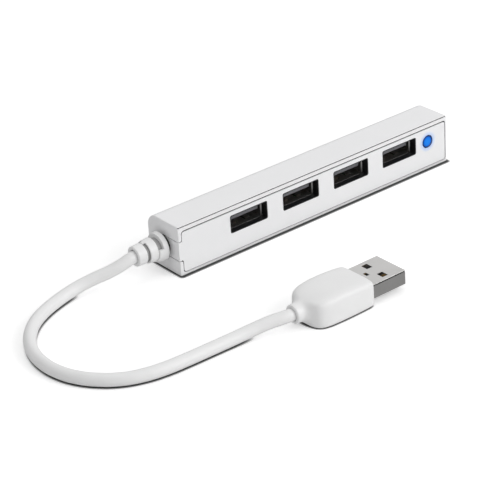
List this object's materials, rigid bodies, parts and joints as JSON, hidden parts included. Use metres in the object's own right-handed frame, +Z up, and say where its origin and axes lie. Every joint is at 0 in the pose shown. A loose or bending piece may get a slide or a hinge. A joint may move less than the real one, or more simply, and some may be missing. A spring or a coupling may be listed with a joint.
{
  "type": "usb hub",
  "caption": "Slim bar-shaped USB hub with ports along its front edge, a status lamp and a short captive lead that ends in a USB-A plug.",
  "frame": {"origin": "centre of the housing's underside", "axes": "+X along the hub, away from the end its lead leaves; +Y to its back, away from the ports; +Z up"},
  "size_m": [0.1667, 0.0679, 0.016],
  "materials": {
    "white_abs": "injection-moulded ABS, satin",
    "white_vinyl": "soft moulded PVC, satin",
    "black_abs": "injection-moulded, satin",
    "tongue_pbt": "glass-filled PBT, moulded",
    "connector_steel": "tin- or nickel-plated sheet, pressed",
    "contact_gold": "gold-flashed copper alloy",
    "blue_lens": "polished acrylic, lit from behind",
    "lamp_epoxy": "cast clear epoxy",
    "solder_mask": "solder mask over laminate",
    "chip_resin": "moulded resin",
    "capacitor_sleeve": "shrink sleeve",
    "ceramic": "fired ceramic",
    "plug_insulator": "black PBT, moulded",
    "wire_red": "PVC insulation",
    "wire_white": "PVC insulation",
    "wire_green": "PVC insulation",
    "wire_black": "PVC insulation"
  },
  "bodies": {
    "root": {"housing": "white_abs", "front_panel": "white_abs", "port_frame": "black_abs", "status_lens": "blue_lens", "status_led": "lamp_epoxy", "circuit_board": "solder_mask", "controller_chip": "chip_resin", "crystal": "connector_steel", "capacitor_1": "capacitor_sleeve", "capacitor_2": "capacitor_sleeve", "load_capacitor": "ceramic", "lamp_resistor": "chip_resin", "strain_relief": "white_vinyl", "cable": "white_vinyl", "wire_red": "wire_red", "wire_white": "wire_white", "wire_green": "wire_green", "wire_black": "wire_black", "plug_overmold": "white_vinyl", "plug_shell": "connector_steel", "plug_insulator": "plug_insulator", "port_1_shell": "connector_steel", "port_1_tongue": "tongue_pbt", "port_1_contact_1": "contact_gold", "port_1_contact_2": "contact_gold", "port_1_contact_3": "contact_gold", "port_1_contact_4": "contact_gold", "port_2_shell": "connector_steel", "port_2_tongue": "tongue_pbt", "port_2_contact_1": "contact_gold", "port_2_contact_2": "contact_gold", "port_2_contact_3": "contact_gold", "port_2_contact_4": "contact_gold", "port_3_shell": "connector_steel", "port_3_tongue": "tongue_pbt", "port_3_contact_1": "contact_gold", "port_3_contact_2": "contact_gold", "port_3_contact_3": "contact_gold", "port_3_contact_4": "contact_gold", "port_4_shell": "connector_steel", "port_4_tongue": "tongue_pbt", "port_4_contact_1": "contact_gold", "port_4_contact_2": "contact_gold", "port_4_contact_3": "contact_gold", "port_4_contact_4": "contact_gold", "plug_contact_1": "contact_gold", "plug_contact_2": "contact_gold", "plug_contact_3": "contact_gold", "plug_contact_4": "contact_gold"}
  },
  "joints": []
}
